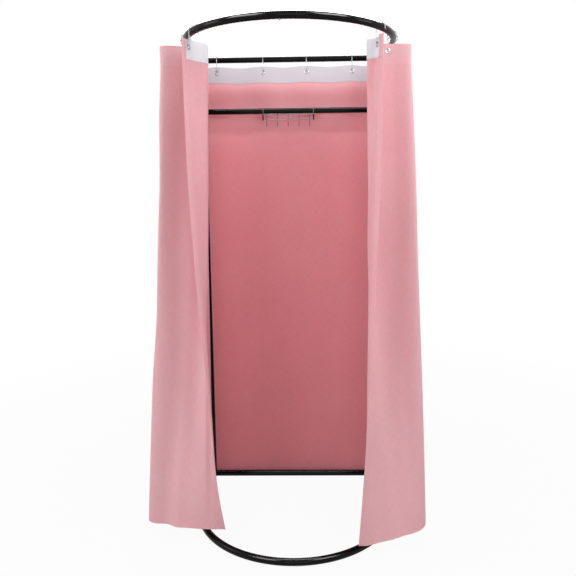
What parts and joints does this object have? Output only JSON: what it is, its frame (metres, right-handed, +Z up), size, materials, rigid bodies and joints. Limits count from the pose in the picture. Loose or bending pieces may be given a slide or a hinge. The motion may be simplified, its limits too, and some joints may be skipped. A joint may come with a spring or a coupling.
{
  "type": "portable fitting room",
  "caption": "Free-standing round-fronted fitting room of plug-together steel tube, with hooked curtains at the back and sides, a hanging bar and a sliding wire hook rack",
  "frame": {"origin": "on the floor, under the middle of the back base bar, at the mount floor_back", "axes": "+Z up, +X to the right seen from the open front, -Y toward the open front"},
  "size_m": [1.1421, 0.7668, 2.0028],
  "materials": {
    "frame_tube": "gloss black powder coat",
    "screw": "zinc plated",
    "steel_wire": "bright plated wire",
    "grommet_metal": "pressed plated eyelet",
    "curtain_cloth": "heavy linen-look weave, dusty pink",
    "band_cloth": "white non-woven header band",
    "cap_rubber": "black end cap"
  },
  "bodies": {
    "frame": {"top_rail_left": "frame_tube", "top_rail_right": "frame_tube", "top_joint_screw": "screw", "base_rail_left": "frame_tube", "base_rail_right": "frame_tube", "base_joint_screw": "screw", "left_upright_lower": "frame_tube", "left_upright_upper": "frame_tube", "left_top_corner": "frame_tube", "left_base_corner": "frame_tube", "right_upright_lower": "frame_tube", "right_upright_upper": "frame_tube", "right_top_corner": "frame_tube", "right_base_corner": "frame_tube", "back_top_bar": "frame_tube", "back_base_bar": "frame_tube", "hanging_bar": "frame_tube", "left_curtain": "curtain_cloth", "left_curtain_band": "band_cloth", "right_curtain": "curtain_cloth", "right_curtain_band": "band_cloth", "back_curtain": "curtain_cloth", "back_curtain_band": "band_cloth", "left_hook_1": "steel_wire", "left_grommet_1": "grommet_metal", "left_hook_2": "steel_wire", "left_grommet_2": "grommet_metal", "right_hook_1": "steel_wire", "right_grommet_1": "grommet_metal", "right_hook_2": "steel_wire", "right_grommet_2": "grommet_metal", "back_hook_5": "steel_wire", "back_grommet_5": "grommet_metal"},
    "left_slider_3": {"left_hook_3": "steel_wire", "left_grommet_3": "grommet_metal"},
    "left_slider_4": {"left_hook_4": "steel_wire", "left_grommet_4": "grommet_metal"},
    "left_slider_5": {"left_hook_5": "steel_wire", "left_grommet_5": "grommet_metal"},
    "left_slider_lead": {"left_hook_6": "steel_wire", "left_grommet_6": "grommet_metal"},
    "right_slider_3": {"right_hook_3": "steel_wire", "right_grommet_3": "grommet_metal"},
    "right_slider_4": {"right_hook_4": "steel_wire", "right_grommet_4": "grommet_metal"},
    "right_slider_5": {"right_hook_5": "steel_wire", "right_grommet_5": "grommet_metal"},
    "right_slider_lead": {"right_hook_6": "steel_wire", "right_grommet_6": "grommet_metal"},
    "back_slider_lead": {"back_hook_1": "steel_wire", "back_grommet_1": "grommet_metal"},
    "back_slider_2": {"back_hook_2": "steel_wire", "back_grommet_2": "grommet_metal"},
    "back_slider_3": {"back_hook_3": "steel_wire", "back_grommet_3": "grommet_metal"},
    "back_slider_4": {"back_hook_4": "steel_wire", "back_grommet_4": "grommet_metal"},
    "rack": {"rack_wire_frame": "steel_wire", "rack_cap_1": "cap_rubber", "rack_cap_2": "cap_rubber"}
  },
  "joints": [
    {"name": "left_curtain_draw", "type": "hinge", "parent": "frame", "child": "left_slider_lead", "pos_m": [0, -0.311, 1.986], "axis": [0, 0, 1], "range_deg": [0, 48], "deforming": ["left_curtain", "left_curtain_band"]},
    {"name": "left_hook_5_follow", "type": "hinge", "parent": "frame", "child": "left_slider_5", "pos_m": [0, -0.311, 1.986], "axis": [0, 0, 1], "range_deg": [0, 39.3]},
    {"name": "left_hook_4_follow", "type": "hinge", "parent": "frame", "child": "left_slider_4", "pos_m": [0, -0.311, 1.986], "axis": [0, 0, 1], "range_deg": [0, 17.9]},
    {"name": "left_hook_3_follow", "type": "hinge", "parent": "frame", "child": "left_slider_3", "pos_m": [0, -0.311, 1.986], "axis": [0, 0, 1], "range_deg": [0, 7.5]},
    {"name": "right_curtain_draw", "type": "hinge", "parent": "frame", "child": "right_slider_lead", "pos_m": [0, -0.311, 1.986], "axis": [0, 0, -1], "range_deg": [0, 48.5], "deforming": ["right_curtain", "right_curtain_band"]},
    {"name": "right_hook_5_follow", "type": "hinge", "parent": "frame", "child": "right_slider_5", "pos_m": [0, -0.311, 1.986], "axis": [0, 0, -1], "range_deg": [0, 41.2]},
    {"name": "right_hook_4_follow", "type": "hinge", "parent": "frame", "child": "right_slider_4", "pos_m": [0, -0.311, 1.986], "axis": [0, 0, -1], "range_deg": [0, 20.4]},
    {"name": "right_hook_3_follow", "type": "hinge", "parent": "frame", "child": "right_slider_3", "pos_m": [0, -0.311, 1.986], "axis": [0, 0, -1], "range_deg": [0, 8.1]},
    {"name": "back_curtain_draw", "type": "slide", "parent": "frame", "child": "back_slider_lead", "axis": [1, 0, 0], "range_m": [0, 0.5], "deforming": ["back_curtain", "back_curtain_band"]},
    {"name": "back_hook_2_follow", "type": "slide", "parent": "frame", "child": "back_slider_2", "axis": [1, 0, 0], "range_m": [0, 0.3546]},
    {"name": "back_hook_3_follow", "type": "slide", "parent": "frame", "child": "back_slider_3", "axis": [1, 0, 0], "range_m": [0, 0.2188]},
    {"name": "back_hook_4_follow", "type": "slide", "parent": "frame", "child": "back_slider_4", "axis": [1, 0, 0], "range_m": [0, 0.0761]},
    {"name": "rack_slide", "type": "slide", "parent": "frame", "child": "rack", "axis": [1, 0, 0], "range_m": [-0.25, 0.29]}
  ],
  "couplings": [
    {"joint": "left_hook_5_follow", "follows": "left_curtain_draw", "ratio": 0.8157},
    {"joint": "left_hook_4_follow", "follows": "left_curtain_draw", "ratio": 0.3685},
    {"joint": "left_hook_3_follow", "follows": "left_curtain_draw", "ratio": 0.1526},
    {"joint": "right_hook_5_follow", "follows": "right_curtain_draw", "ratio": 0.8464},
    {"joint": "right_hook_4_follow", "follows": "right_curtain_draw", "ratio": 0.4177},
    {"joint": "right_hook_3_follow", "follows": "right_curtain_draw", "ratio": 0.1637},
    {"joint": "back_hook_2_follow", "follows": "back_curtain_draw", "ratio": 0.7092},
    {"joint": "back_hook_3_follow", "follows": "back_curtain_draw", "ratio": 0.4375},
    {"joint": "back_hook_4_follow", "follows": "back_curtain_draw", "ratio": 0.1522}
  ]
}
